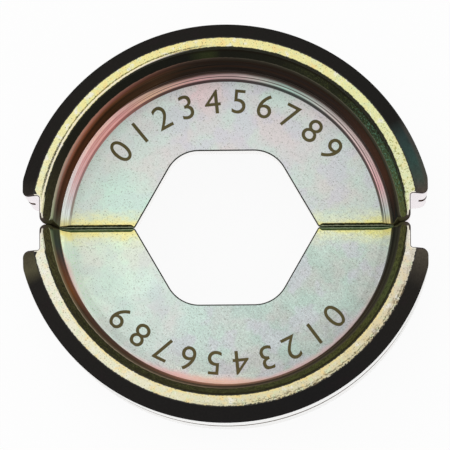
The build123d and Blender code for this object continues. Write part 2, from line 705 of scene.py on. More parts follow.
class Tree:
    """Short names for adding nodes to a tree and joining them."""

    def __init__(self, tree):
        self.tree = tree

    def node(self, kind, inputs=None, **settings):
        """Adds a node, with its settings and what goes into its inputs."""
        node = self.tree.nodes.new(kind)
        for name, value in settings.items():
            setattr(node, name, value)
        for key, value in (inputs or {}).items():
            self.feed(node.inputs[key], value)
        return node

    def feed(self, socket, value):
        """Joins a socket to another, or sets its value."""
        if isinstance(value, Value):
            value = value.socket
        if isinstance(value, bpy.types.NodeSocket):
            self.tree.links.new(value, socket)
        else:
            socket.default_value = value

    def result(self, kind, inputs=None, **settings):
        """Adds a node and gives its first output."""
        return self.node(kind, inputs, **settings).outputs[0]

    def number(self, kind, inputs=None, **settings):
        """Adds a node whose first output is a number."""
        return Value(self, self.result(kind, inputs, **settings))

    def math(self, operation, *values):
        """A number worked out from one or two others."""
        return self.number("ShaderNodeMath", dict(enumerate(values)), operation=operation)

    def vector(self, operation, inputs):
        """A vector worked out from others."""
        return self.result("ShaderNodeVectorMath", inputs, operation=operation)

    def joined(self, x=0.0, y=0.0, z=0.0):
        """A vector with the three parts."""
        return self.result("ShaderNodeCombineXYZ", {0: x, 1: y, 2: z})


class Finish(Tree):
    """A material in the making: its shader, its base colour and the patterns that feed them.

    Lengths are in millimetres, and colours are written as 0 to 255, as on a screen. Degrees go
    round the rim, from the left end of each half at 0 to its right end at 180. The attribute
    "section" is the distance along the section, with the fillet from 0.45 to 2.31 and the wall
    from there to 8.35. The attribute "edge" goes from 0 at the inner border of a rounded edge
    to 1 at its outer border.
    """

    def __init__(self, name, metallic, specular):
        self.material = bpy.data.materials.new(name)
        self.material.use_nodes = True
        super().__init__(self.material.node_tree)
        self.shader = self.tree.nodes["Principled BSDF"]
        self.shader.inputs["Metallic"].default_value = metallic
        self.shader.inputs["Specular IOR Level"].default_value = specular
        coordinates = self.node("ShaderNodeTexCoord").outputs["Object"]
        self.place = self.vector("SCALE", {0: coordinates, "Scale": 1 / MM})
        parts = self.node("ShaderNodeSeparateXYZ", {0: self.place}).outputs
        self.x, self.y = Value(self, parts[0]), Value(self, parts[1])
        self.upper = self.math("GREATER_THAN", self.y, 0.0)
        self.lower = 1.0 - self.upper
        self.from_split = self.math("ABSOLUTE", self.y)
        height = self.from_split + ARC_DROP
        self.radius = self.math("SQRT", self.x * self.x + height * height)
        self.degrees = self.math("ARCTAN2", height, self.x) * (-180 / math.pi) + 180.0
        self.base = None

    def attribute(self, name):
        """A number stored on the mesh."""
        node = self.node("ShaderNodeAttribute", attribute_name=name)
        return Value(self, node.outputs["Fac"])

    def stretched(self, turn, factors):
        """The place with a turn about the axis and then a stretch."""
        turned_place = self.result("ShaderNodeVectorRotate", {"Vector": self.place, "Angle": turn},
                                   rotation_type="Z_AXIS")
        return self.vector("MULTIPLY", {0: turned_place, 1: factors})

    def noise(self, size, detail=2.0, rough=0.5, place=None, shift=0.0):
        """Cloudy noise from 0 to 1 with features of a size in millimetres."""
        place = place or self.place
        if shift:
            place = self.vector("ADD", {0: place, 1: (shift, 0.7 * shift, 0.3 * shift)})
        return self.number("ShaderNodeTexNoise", {"Vector": place, "Scale": 1 / size,
                                                  "Detail": detail, "Roughness": rough})

    def mix(self, amount, first, second, blend="MIX"):
        """A colour between two others."""
        node = self.node("ShaderNodeMix", {0: amount}, data_type="RGBA", blend_type=blend)
        for socket, colour in ((node.inputs[6], first), (node.inputs[7], second)):
            linked = isinstance(colour, bpy.types.NodeSocket)
            self.feed(socket, colour if linked else opaque(colour))
        return node.outputs[2]

    def scale(self, colour, amount):
        """A colour made lighter or darker by a value round 1."""
        grey = self.result("ShaderNodeCombineColor", {0: amount, 1: amount, 2: amount})
        return self.mix(1.0, colour, grey, blend="MULTIPLY")

    def paint(self, amount, colour):
        """Lays a colour over the base colour."""
        self.base = self.mix(amount, self.base, colour)

    def shade(self, amount):
        """Makes the base colour lighter or darker by a value round 1."""
        self.base = self.scale(self.base, amount)

    def ramp(self, value, stops):
        """A colour that changes along a value, by places and colours."""
        node = self.node("ShaderNodeValToRGB", {"Fac": value})
        elements = node.color_ramp.elements
        while len(elements) < len(stops):
            elements.new(0.5)
        for element, (place, colour) in zip(elements, stops):
            element.position = place
            element.color = opaque(colour)
        return node.outputs["Color"]

    def along_rim(self, stops):
        """A colour that changes along the rim, by degrees."""
        return self.ramp(self.degrees / 180.0, [(place / 180, colour) for place, colour in stops])

    def round_the_rim(self, upper_stops, lower_stops):
        """A colour that changes along the rim, by degrees, for each half."""
        return self.mix(self.upper, self.along_rim(lower_stops), self.along_rim(upper_stops))

    def number_along_rim(self, stops):
        """A number that changes along the rim, by degrees."""
        highest = 4.0
        greys = self.along_rim([(place, (value / highest,) * 3) for place, value in stops])
        return self.math("MULTIPLY", greys, highest)

    def number_round_the_rim(self, upper_stops, lower_stops):
        """A number that changes along the rim, by degrees, for each half."""
        return self.upper.blend(self.number_along_rim(lower_stops),
                                self.number_along_rim(upper_stops))

    def finished(self, roughness, bump, bump_height):
        """Feeds the shader and gives the material. The bump's height is in millimetres."""
        self.feed(self.shader.inputs["Base Color"], self.base)
        self.feed(self.shader.inputs["Roughness"], roughness)
        node = self.node("ShaderNodeBump", {"Height": bump, "Distance": bump_height * MM,
                                            "Strength": 1.0})
        self.feed(self.shader.inputs["Normal"], node.outputs["Normal"])
        return self.material


# Finishes of the die

def plating_clouds(finish, colours):
    """Paints clouds of pink, lilac, mint and yellow and dark specks, and gives its two grains."""
    clouds = finish.noise(5.0, 3.0)
    other_clouds = finish.noise(3.6, 3.0, shift=31.0)
    third_clouds = finish.noise(3.0, 3.0, shift=57.0)
    grain = finish.noise(0.13, 2.0, 0.7)
    brushed = finish.noise(1.0, 2.0, 0.6, place=finish.stretched(0.75, (0.5, 7.0, 1.0)))
    finish.base = finish.round_the_rim(
        [(20, (206, 234, 218)), (60, colours.web), (130, colours.web), (165, (203, 216, 206))],
        [(10, (224, 246, 220)), (40, (220, 240, 228)), (60, (213, 230, 223)),
         (100, (190, 209, 201)), (138, (180, 201, 190)), (155, (190, 209, 198)),
         (170, (200, 220, 206))])
    high = finish.from_split.ease(11.0, 16.0) * finish.upper
    pink_place = (high * finish.x.ease(5.0, -6.0)).at_least(0.3)
    finish.paint(clouds.ease(0.42, 0.6) * pink_place, colours.pink)
    mint_place = (high * finish.x.ease(-1.0, 6.0) * 0.8).at_least(0.5)
    finish.paint(other_clouds.ease(0.44, 0.62) * mint_place, colours.mint)
    lilac_place = finish.x.ease(-12.0, -4.0).blend(0.16, 0.55)
    finish.paint(third_clouds.ease(0.48, 0.62) * lilac_place, (209, 207, 217))
    streaks = finish.noise(1.2, 4.0, 0.65, place=finish.stretched(0.0, (0.7, 1.4, 1.0)), shift=4.0)
    at_right = finish.x.ease(-4.0, 8.0)
    by_wall = finish.radius.ease(14.5, 18.5)
    reach = finish.from_split + streaks.blend(1.5, -1.5) + at_right * by_wall.blend(0.35, 0.0)
    finish.paint(reach.ease(2.7, 0.5) * 0.85, colours.yellow)
    gold = finish.mix(at_right, (248, 232, 138), (236, 228, 118))
    finish.paint(reach.ease(1.45, 0.2) * 0.75, gold)
    speck = finish.noise(0.14, 1.0, 0.5, shift=9.0).ease(0.6, 0.74)
    finish.paint(speck * 0.6, (112, 114, 94))
    coarse_low = finish.lower * finish.degrees.ease(46.0, 86.0)
    coarse_right = finish.upper * finish.degrees.ease(118.0, 150.0)
    coarseness = coarse_right * 0.5 + coarse_low
    uneven = (brushed - 0.5) * 0.36 + (grain - 0.5)
    finish.shade(uneven * coarseness.blend(0.5, 1.1) + 1.01)
    return grain, brushed


def web_finish(colours):
    """Clear plating on the web, made lighter or darker near the wall by painted light and shade, with
    the painted shade of the turned seam at its border.
    """
    finish = Finish("web_plating", 0.45, 0.3)
    grain, brushed = plating_clouds(finish, colours)
    # Painted light and shade: the web is made lighter or darker near the wall, by degrees round the
    # rim.
    ring = finish.number_round_the_rim(
        [(8, 1.07), (30, 1.06), (50, 1.08), (64, 1.11), (92, 1.08), (106, 1.04), (122, 1.06),
         (134, 1.0), (148, 1.04), (162, 1.0)],
        [(8, 1.04), (50, 1.02), (66, 1.0), (78, 0.92), (134, 0.94), (148, 1.02), (162, 1.0)])
    finish.shade(finish.radius.ease(16.4, 17.4).blend(1.0, ring))
    # Painted shade of the turned seam's small step, on the upper half only.
    past_seam = finish.radius - SEAM_RADIUS
    finish.paint(past_seam.ease(-0.03, 0.02) * seam_shade_strength(finish), seam_shade_colour(finish))
    return finish.finished(grain.blend(0.34, 0.5), grain + brushed, 0.004)


def land_patches(finish, across, fine, other):
    """Peach, mint and pale patches of the land's plating, with dark and olive specks."""
    finish.base = finish.round_the_rim(
        [(5, (246, 242, 200)), (45, (248, 240, 164)), (90, (248, 236, 164)), (135, (240, 240, 176)),
         (172, (234, 238, 194))],
        [(8, (247, 244, 224)), (60, (243, 239, 208)), (100, (228, 221, 182)),
         (140, (226, 214, 176)), (162, (224, 214, 194)), (174, (232, 226, 212))])
    patches = finish.noise(0.9, 3.0, 0.6)
    gold = finish.degrees.band(40.0, 128.0, 12.0).blend(0.3, 0.7)
    finish.paint(patches.ease(0.5, 0.68) * gold, (252, 222, 148))
    finish.paint(other.ease(0.5, 0.68) * 0.5, (216, 236, 196))
    finish.paint(patches.ease(0.44, 0.32) * 0.7, (250, 248, 238))
    lower_stretch = finish.lower * finish.degrees.band(30.0, 160.0, 15.0)
    fringe = across.ease(0.42, 0.12) * lower_stretch * other.ease(0.35, 0.55)
    finish.paint(fringe * 0.6, (252, 228, 146))
    speck = finish.noise(0.18, 2.0, 0.6, shift=3.0).ease(0.6, 0.7)
    finish.paint(speck * 0.8, (100, 94, 68))
    olive = finish.noise(0.34, 2.0, 0.6, shift=29.0).ease(0.54, 0.62)
    upper_right = finish.upper * finish.degrees.ease(136.0, 156.0)
    finish.paint(olive * upper_right * 0.75, (166, 166, 88))
    finish.shade(fine.blend(0.74, 1.18))


def land_borders(finish, across, fine, other, black):
    """Ragged dark borders of the land, with its burrs, its stains and its dark outer corners. The
    black of the outer border and of the outer corners is a painted dark reflection, as on the outer
    bevel.
    """
    ragged = finish.noise(0.3, 4.0, 0.75, shift=11.0) - 0.5
    coarse = ragged * 0.9 + across
    plain = ragged * 0.3 + across
    worn = finish.lower * finish.degrees.band(90.0, 162.0, 14.0)
    outer_place = worn.blend(plain, coarse)
    # Painted dark reflection: the outer bevel's black, carried ragged onto the land's outer border.
    finish.paint(outer_place.ease(LAND_WIDTH - 0.03, LAND_WIDTH + 0.04), black)
    middle = finish.degrees.ease(48.0, 80.0) * finish.degrees.ease(172.0, 138.0)
    inner_edge = middle * finish.upper * 0.19 + 0.03
    inner_edge = inner_edge.at_most(finish.from_split * 0.06 - 0.17)
    inside = (plain - inner_edge).ease(0.03, -0.03)
    past_notch = finish.from_split.ease(NOTCH_HEIGHT - 0.6, NOTCH_HEIGHT + 0.2)
    finish.paint(inside * past_notch, (38, 38, 26))
    lip = across.band(0.09, 0.25, 0.04) * finish.upper * finish.degrees.band(10.0, 74.0, 8.0)
    finish.paint(lip * 0.7, (250, 238, 226))
    heavy = finish.degrees.band(12.0, 30.0, 4.0) * 0.05
    upper_left = finish.upper * finish.degrees.band(12.0, 84.0, 5.0)
    burr = (ragged * 0.35 + across).band(0.3 - heavy, 0.44 + heavy, 0.03)
    burr = burr * upper_left * fine.ease(0.34, 0.46)
    outer_burr = coarse.band(0.93, 1.05, 0.03) * worn * other.ease(0.38, 0.5)
    finish.paint(outer_burr * 0.85, (74, 68, 30))
    burr_colour = finish.along_rim([(14, (26, 25, 18)), (30, (40, 36, 20)), (50, (80, 72, 34))])
    finish.paint(burr * 0.9, burr_colour)
    stain = finish.noise(0.8, 4.0, 0.7, shift=41.0).ease(0.53, 0.62)
    finish.paint(stain * worn * across.ease(0.47, 0.77) * 0.6, (140, 122, 92))
    # Painted dark reflection at the land's outer corners by the ends of the rim.
    rise = (finish.from_split - NOTCH_HEIGHT).at_least(0.0) * 1.4
    at_left = finish.math("LESS_THAN", finish.x, 0.0)
    corner_size = at_left.blend(finish.upper * 0.55, 1.0)
    corner = (LAND_WIDTH - across) * 2.2 + rise - corner_size
    finish.paint(corner.ease(0.05, -0.08), black)


def land_finish(colours):
    """Worn yellow plating on the lands, with patches, specks and ragged borders."""
    finish = Finish("land_plating", 0.1, 0.15)
    across = finish.radius - LAND_RADIUS
    fine = finish.noise(0.12, 2.0, 0.6, shift=5.0)
    other = finish.noise(0.7, 3.0, 0.6, shift=17.0)
    land_patches(finish, across, fine, other)
    land_borders(finish, across, fine, other, colours.black)
    return finish.finished(fine.blend(0.4, 0.65), fine, 0.006)


def outer_bevel_finish():
    """Outer bevel painted black as a dark reflection, with painted teal and brown reflections at the
    right end of the upper half.
    """
    finish = Finish("outer_bevel_black", 0.0, 0.0)
    # The black is a painted dark reflection; the lighter, tinted stops near the ends are painted
    # reflections too.
    finish.base = finish.round_the_rim(
        [(8, (56, 52, 46)), (16, (37, 35, 33)), (147, (36, 35, 33)), (152, (52, 66, 64)),
         (160, (58, 80, 74)), (165, (70, 80, 72)), (169, (88, 78, 70))],
        [(9, (66, 60, 50)), (16, (88, 84, 64)), (20, (40, 38, 36)), (120, (35, 34, 34)),
         (158, (42, 40, 37)), (168, (84, 78, 68)), (172, (104, 94, 84))])
    clouds = finish.noise(2.0, 3.0, 0.6)
    finish.paint(clouds.ease(0.55, 0.7) * 0.25, (44, 34, 38))
    # Painted reflection: browner at the right end of the upper half, towards the back.
    by_back = (BACK_RADIUS - finish.radius).ease(0.75, 0.25)
    right_end = finish.upper * finish.degrees.ease(146.0, 152.0)
    finish.paint(right_end * by_back * 0.5, (84, 72, 66))
    fine = finish.noise(0.25, 2.0, 0.6)
    ends = finish.degrees.ease(150.0, 168.0).at_least(finish.degrees.ease(20.0, 10.0))
    finish.shade((fine - 0.5) * ends.blend(0.5, 1.1) + 1.0)
    return finish.finished(0.6, fine, 0.003)


def bevel_foot(finish):
    """The paler foot of the inner bevel, with a thin painted highlight line over it."""
    from_foot = finish.radius - BEVEL_FOOT_RADIUS
    edge_noise = finish.noise(0.5, 3.0, 0.6, shift=2.0).blend(-0.07, 0.07)
    near_end = (1.05 - finish.from_split).at_least(0.0).at_most(1.0)
    swing = (1.0 - finish.math("SQRT", 1.0 - near_end * near_end)) * 0.8
    at_left_end = finish.degrees.ease(26.0, 8.0) * finish.upper
    foot_place = from_foot + edge_noise - swing + at_left_end * 0.06
    below = finish.round_the_rim(
        [(4, (186, 200, 156)), (10, (196, 196, 164)), (20, (206, 172, 156)), (36, (206, 140, 118)),
         (50, (160, 104, 90)), (64, (110, 74, 62)), (76, (68, 54, 46)), (95, (58, 52, 44)),
         (160, (72, 68, 56))],
        [(5, (104, 120, 90)), (10, (116, 122, 92)), (16, (140, 114, 88)), (26, (142, 108, 78)),
         (34, (104, 90, 72)), (76, (96, 80, 64)), (95, (74, 64, 52)), (165, (60, 58, 48))])
    below = finish.scale(below, from_foot.ease(-0.03, 0.3).blend(0.6, 1.2))
    below = finish.mix(finish.from_split.ease(0.9, 0.4), below, (44, 42, 30))
    finish.paint(foot_place.ease(0.36, 0.3), below)
    # Painted highlight: the thin light line along the rounding at the bevel's foot.
    line = finish.round_the_rim(
        [(6, (200, 206, 178)), (40, (180, 140, 120)), (66, (140, 104, 90)), (80, (96, 80, 70)),
         (95, (84, 80, 70)), (150, (110, 110, 92)), (170, (120, 122, 96))],
        [(6, (176, 180, 140)), (40, (176, 162, 138)), (80, (144, 126, 104)), (110, (90, 80, 66)),
         (165, (72, 70, 56))])
    finish.paint(foot_place.band(0.27, 0.34, 0.025) * 0.85, line)


def inner_bevel_finish():
    """Olive inner bevel, its dark a painted dark reflection, with green specks and a painted highlight
    line at its foot.
    """
    finish = Finish("inner_bevel_olive", 0.0, 0.0)
    from_land = finish.radius - LAND_RADIUS
    # Painted dark reflection: the bevel's dark olive along the rim.
    finish.base = finish.round_the_rim(
        [(6, (70, 66, 48)), (30, (42, 42, 34)), (78, (35, 35, 31)), (83, (54, 60, 38)),
         (86, (56, 62, 38)), (89, (37, 37, 31)), (108, (40, 40, 32)), (118, (50, 52, 38)),
         (132, (46, 48, 36)), (146, (58, 70, 52)), (160, (78, 98, 68)), (172, (98, 104, 60))],
        [(6, (84, 78, 52)), (40, (56, 54, 38)), (80, (64, 62, 42)), (118, (76, 78, 46)),
         (135, (78, 76, 42)), (155, (80, 88, 54)), (172, (86, 84, 50))])
    fine = finish.noise(0.14, 2.0, 0.7)
    mottle = finish.noise(0.4, 3.0, 0.7, shift=13.0)
    clouds = finish.noise(1.6, 3.0, 0.6, shift=7.0)
    lively = finish.lower.at_least(finish.degrees.ease(100.0, 134.0))
    lively = lively.at_least(finish.degrees.ease(24.0, 10.0) * 0.5)
    speck = fine.ease(0.5, 0.66) * clouds.ease(0.34, 0.55) * lively
    finish.paint(speck * 0.6, (104, 112, 60))
    finish.shade(fine.blend(0.4, 1.6))
    patch = mottle.ease(0.52, 0.4) * lively.blend(0.25, 0.75)
    finish.paint(patch * 0.7, (36, 36, 28))
    teal = finish.noise(0.26, 2.0, 0.6, shift=37.0).ease(0.53, 0.63)
    upper_right = finish.upper * finish.degrees.band(138.0, 170.0, 7.0)
    finish.paint(teal * upper_right * 0.8, (104, 146, 120))
    by_land = from_land.band(-0.31, 0.03, 0.06)
    finish.paint(by_land * finish.degrees.ease(60.0, 90.0) * 0.7, (34, 29, 22))
    bevel_foot(finish)
    tip = (from_land - (finish.from_split * 0.06 - 0.15)).ease(-0.02, 0.02)
    tip = tip * finish.from_split.ease(NOTCH_HEIGHT, NOTCH_HEIGHT - 0.5)
    finish.paint(tip, (246, 240, 214))
    return finish.finished(0.6, fine, 0.003)


def wall_browns(finish, section):
    """The wall's brown, which changes along the rim and from its foot to its top."""
    high = finish.round_the_rim(
        [(4, (98, 100, 86)), (8, (128, 122, 102)), (14, (160, 122, 110)), (24, (190, 124, 102)),
         (36, (184, 112, 82)), (46, (146, 90, 62)), (60, (106, 70, 50)), (70, (88, 60, 46)),
         (80, (54, 42, 34)), (110, (54, 42, 34)), (160, (68, 48, 34)), (174, (48, 46, 38))],
        [(5, (76, 82, 60)), (10, (76, 84, 76)), (14, (96, 78, 68)), (20, (126, 83, 60)),
         (26, (146, 92, 56)), (34, (92, 66, 50)), (58, (94, 70, 54)), (76, (138, 98, 78)),
         (100, (136, 106, 88)), (125, (82, 72, 58)), (172, (58, 58, 48))])
    low = finish.round_the_rim(
        [(4, (112, 116, 96)), (9, (94, 74, 64)), (16, (102, 67, 50)), (28, (96, 58, 38)),
         (48, (72, 50, 32)), (66, (82, 62, 46)), (76, (54, 46, 38)), (90, (48, 42, 38)),
         (130, (58, 48, 44)), (148, (84, 60, 50)), (160, (88, 60, 48)), (174, (42, 44, 42))],
        [(5, (80, 84, 66)), (10, (69, 77, 70)), (14, (88, 80, 76)), (19, (118, 80, 66)),
         (26, (138, 90, 70)), (38, (92, 70, 62)), (54, (96, 74, 64)), (66, (128, 92, 78)),
         (76, (176, 126, 106)), (92, (178, 134, 108)), (106, (142, 112, 98)), (122, (86, 66, 56)),
         (144, (62, 52, 42)), (172, (44, 44, 38))])
    level = finish.upper.blend(section.ease(4.0, 7.6), section.ease(6.2, 8.8))
    return finish.mix(level, low, high)


def wall_finish():
    """Brown recess wall with fine lines round it, and a pale blush at the foot of the lower half."""
    finish = Finish("recess_wall_brown", 0.0, 0.0)
    section = finish.attribute("section")
    finish.base = wall_browns(finish, section)
    lines = finish.noise(0.2, 1.0, 0.5, place=section_lines(finish, section))
    finish.shade(lines.blend(0.2, 1.9))
    finish.paint(section.band(4.6, 5.6, 0.25) * finish.upper * 0.3, (84, 54, 36))
    dark = section.band(5.6, 6.6, 0.3) * finish.upper * finish.degrees.ease(80.0, 55.0)
    finish.paint(dark * 0.3, (40, 32, 24))
    # Partly painted light: the pale blush at the foot of the lower half's wall carries on the bright
    # fillet's reflection, over the plating's pink cast.
    strength = finish.number_along_rim([(4, 0.8), (22, 0.9), (30, 0.3), (36, 0.05), (46, 0.1),
                                        (58, 0.6), (70, 1.2), (92, 1.2), (106, 0.5), (120, 0.0)])
    blush = section.ease(3.3, 2.5) * finish.lower * strength
    blush_colour = finish.along_rim([(4, (206, 210, 160)), (14, (232, 200, 190)),
                                     (60, (240, 184, 168)), (90, (255, 200, 176))])
    finish.paint(blush * 0.8, blush_colour)
    return finish.finished(0.55, lines, 0.004)


def section_lines(finish, section):
    """A place that changes fast across the turning marks and slowly along them."""
    return finish.joined(section, finish.x * 0.03, finish.y * 0.03)


def seam_shade_colour(finish):
    """The painted shade of the turned seam where the fillet meets the web."""
    return finish.along_rim([(0, (164, 168, 128)), (18, (174, 146, 142)), (30, (188, 136, 132)),
                             (44, (194, 126, 118)), (56, (150, 102, 94)), (66, (78, 52, 48)),
                             (80, (46, 36, 34)), (122, (46, 43, 40)), (150, (58, 45, 42)),
                             (172, (76, 76, 58))])


def seam_shade_strength(finish):
    """How dark the painted shade of the turned seam is along the rim. Only the upper half shows it."""
    return finish.upper * finish.from_split.ease(0.2, 2.2).blend(0.4, 0.92)


def fillet_plating(finish, colours, section):
    """The fillet's plating with painted light: brighter up the fillet, a painted bright reflection on
    the upper half, and a blush on the lower half that comes and goes along the rim, partly the
    plating's pink and partly painted reflected light.
    """
    plating_clouds(finish, colours)
    # Painted light: the plating is made brighter up the fillet, standing in for the bright reflection
    # there.
    foot_lift = finish.degrees.ease(110.0, 145.0).blend(1.13, 1.2)
    finish.shade(section.ease(1.1, 2.1).blend(foot_lift, 1.54))
    # Painted reflection: a bright colour along the rim for the upper fillet, whiter up the fillet.
    light = finish.along_rim([(3, (236, 244, 186)), (9, (238, 250, 248)), (20, (244, 236, 238)),
                              (30, (255, 210, 204)), (38, (255, 196, 176)), (50, (255, 186, 180)),
                              (62, (255, 208, 176)), (80, (250, 196, 196)), (96, (240, 212, 210)),
                              (112, (200, 236, 222)), (130, (218, 208, 204)),
                              (150, (236, 204, 202)), (162, (246, 190, 192)),
                              (171, (206, 220, 214)), (176, (204, 216, 154))])
    light = finish.mix(section.ease(0.9, 2.2) * 0.35, light, (255, 250, 248))
    finish.paint(finish.upper, light)
    # Partly painted light: the lower fillet's blush is the plating's pink cast made bright as
    # reflected light.
    blush = finish.along_rim(
        [(8, (250, 246, 226)), (16, (255, 206, 206)), (26, (255, 210, 212)), (36, (246, 234, 230)),
         (54, (255, 216, 212)), (70, (255, 188, 182)), (88, (255, 200, 172)),
         (112, (255, 202, 200)), (136, (236, 200, 196)), (150, (218, 190, 184)),
         (162, (214, 216, 204))])
    start = finish.number_along_rim([(8, 2.0), (16, 0.9), (26, 1.0), (36, 1.6), (46, 1.8),
                                     (62, 1.0), (76, 0.5), (90, 0.5), (104, 1.1), (120, 0.8),
                                     (150, 0.95), (164, 1.9)])
    start = start + finish.noise(1.6, 3.0, 0.6, shift=23.0).blend(-0.3, 0.3)
    finish.paint(section.ease(start, start + 1.1) * finish.lower * 0.8, blush)
    # Painted light and shade: brightness factors along the rim for the upper fillet.
    inner_lift = finish.number_along_rim([(4, 1.7), (12, 1.4), (30, 1.3), (46, 1.28), (60, 1.15),
                                          (76, 1.0), (120, 1.0), (138, 1.15), (174, 1.2)])
    outer_lift = finish.number_along_rim([(4, 1.75), (10, 1.5), (18, 1.34), (30, 1.5), (44, 1.5),
                                          (56, 1.05), (120, 1.05), (138, 1.25), (174, 1.25)])
    upper_lift = section.ease(1.3, 1.58).blend(inner_lift, outer_lift)
    blushing = section.ease(1.6, 1.3) * finish.upper * finish.degrees.band(16.0, 52.0, 8.0)
    finish.paint(blushing * 0.6, (255, 184, 182))
    # Painted light and shade: brightness factors along the rim for the lower fillet.
    lower_lift = finish.number_along_rim([(5, 1.38), (20, 1.17), (34, 1.06), (48, 1.02), (60, 1.03),
                                          (76, 1.15), (90, 1.14), (104, 0.97), (130, 0.91),
                                          (150, 0.92)])
    finish.shade(finish.upper.blend(lower_lift, upper_lift))
    near_split = finish.from_split.ease(1.6, 0.3) * finish.upper.blend(0.2, 0.7)
    finish.paint(near_split, (255, 232, 140))


def fillet_shadow(finish, section, lines):
    """The dark upper part of the fillet, where the wall begins."""
    dark = finish.round_the_rim(
        [(10, (196, 188, 160)), (35, (150, 100, 86)), (54, (110, 76, 62)), (66, (112, 86, 74)),
         (80, (88, 70, 62)), (130, (100, 86, 80)), (156, (100, 78, 68)), (174, (80, 72, 60))],
        [(8, (200, 200, 160)), (20, (230, 200, 190)), (34, (150, 128, 124)), (48, (140, 118, 112)),
         (60, (190, 146, 138)), (76, (255, 200, 184)), (90, (244, 190, 164)),
         (104, (170, 142, 130)), (118, (116, 90, 80)), (132, (80, 66, 54)), (148, (66, 50, 42)),
         (165, (48, 46, 36))])
    reach = finish.number_round_the_rim(
        [(42, 2.22), (54, 1.94), (66, 1.52), (72, 1.44), (78, 1.4), (96, 1.47), (114, 1.42),
         (132, 1.48), (140, 1.51)],
        [(14, 2.3), (24, 2.25), (34, 2.05), (48, 2.1), (60, 2.3), (76, 2.75), (90, 2.65),
         (104, 2.27), (120, 2.12), (135, 1.98), (150, 1.8), (164, 1.6)])
    wobble = section - reach + lines.blend(-0.15, 0.15)
    finish.paint(wobble.ease(-0.1, 0.14), dark)
    deep = section.ease(1.6, 1.9) * finish.upper * finish.degrees.ease(56.0, 72.0)
    finish.paint(deep, (54, 44, 38))


def fillet_lines(finish, section, lines):
    """Painted shade and highlight of the turned lines in the fillet of the upper half, and the painted
    shade of the seam at its foot.
    """
    drift = finish.degrees.ease(120.0, 180.0)
    inward = drift * 0.2 + section
    # Painted highlight: a light line along the fillet.
    peak = inward.band(0.87, 0.97, 0.05) * finish.upper * finish.degrees.ease(44.0, 60.0)
    finish.shade(peak * 0.2 + 1.0)
    right = finish.degrees.ease(50.0, 84.0)
    # Painted shade: dark lines along the turning marks.
    first = inward.band(1.02, 1.13, 0.03) * right.blend(0.34, 0.9)
    second = (inward - right * 0.09).band(1.29, 1.38, 0.03) * right.blend(0.34, 0.55)
    third = inward.band(1.24, 1.29, 0.02) * 0.3
    finish.paint((first + second + third) * finish.upper, (98, 82, 76))
    finish.shade((lines - 0.5) * finish.upper * 0.816 + 1.0)
    seam_place = section + drift * 0.06 + finish.degrees.ease(62.0, 30.0) * 0.06
    finish.paint(seam_place.ease(0.86, 0.71) * seam_shade_strength(finish), seam_shade_colour(finish))


def fillet_finish(colours):
    """Iridescent turned fillet at the foot of the recess wall, with painted light and shade: bright
    reflections, a shaded upper part and dark turned lines.
    """
    finish = Finish("recess_fillet_plating", 0.0, 0.15)
    section = finish.attribute("section")
    lines = finish.noise(0.12, 1.0, 0.5, place=section_lines(finish, section))
    fillet_plating(finish, colours, section)
    fillet_shadow(finish, section, lines)
    fillet_lines(finish, section, lines)
    return finish.finished(0.4, lines, 0.004)


def split_edge_finish():
    """Rounded edges along the split, painted with their shade and highlight: dark lines with a thin
    pale highlight line between them.
    """
    finish = Finish("split_edge_dark", 0.0, 0.0)
    edge = finish.attribute("edge")
    section = finish.attribute("section")
    streaks = finish.noise(1.0, 3.0, 0.6, place=finish.stretched(0.0, (0.5, 5.0, 5.0)))
    ragged = finish.noise(0.3, 3.0, 0.7, shift=6.0)
    place = edge + ragged.blend(-0.2, 0.2)
    # Painted shade and highlight across the rounding, by its attribute edge.
    upper = finish.ramp(place, [
        (0.0, (190, 170, 90)), (0.08, (36, 38, 22)), (0.36, (38, 42, 26)), (0.46, (176, 182, 150)),
        (0.56, (150, 160, 132)), (0.66, (36, 42, 28)), (1.0, (20, 21, 15))])
    lower = finish.ramp(place, [
        (0.0, (170, 170, 100)), (0.08, (44, 50, 28)), (0.2, (76, 98, 58)), (0.36, (76, 104, 68)),
        (0.47, (180, 190, 156)), (0.58, (84, 108, 72)), (1.0, (24, 27, 18))])
    rim = finish.ramp(edge, [
        (0.0, (110, 112, 80)), (0.12, (78, 76, 52)), (0.25, (56, 52, 34)), (0.8, (44, 40, 27)),
        (1.0, (26, 25, 19))])
    finish.base = finish.mix(finish.upper, lower, upper)
    finish.paint(section.ease(1.7, 2.4), rim)
    finish.shade(streaks.blend(0.5, 1.5))
    return finish.finished(0.55, streaks, 0.004)


def rim_edge_finish():
    """Rounded edges round the ends of the rim: pale by the land, and outside it a painted dark
    reflection in dark grey.
    """
    finish = Finish("rim_edge_dark", 0.0, 0.0)
    section = finish.attribute("section")
    edge = finish.attribute("edge")
    fine = finish.noise(0.3, 2.0, 0.6)
    finish.base = finish.ramp(section.ease(9.4, 12.0), [
        (0.0, (70, 68, 46)), (0.4, (74, 66, 58)), (1.0, (78, 70, 68))])
    pale = edge.ease(0.45, 0.3) * section.band(11.0, 12.7, 0.1)
    finish.paint(pale, (246, 240, 222))
    finish.shade(fine.blend(0.6, 1.4))
    return finish.finished(0.6, fine, 0.003)


def dark_finish(name, colour, grain=0.3, depth=0.4):
    """Dark finishes with a grain of light and shade: painted shade in the groove, a painted dark
    reflection on the nest's rounded edges, and the numbers' burnt marks.
    """
    finish = Finish(name, 0.0, 0.0)
    fine = finish.noise(grain, 2.0, 0.6)
    finish.base = finish.scale(colour, fine.blend(1.0 - depth, 1.0 + depth))
    return finish.finished(0.6, fine, 0.003)


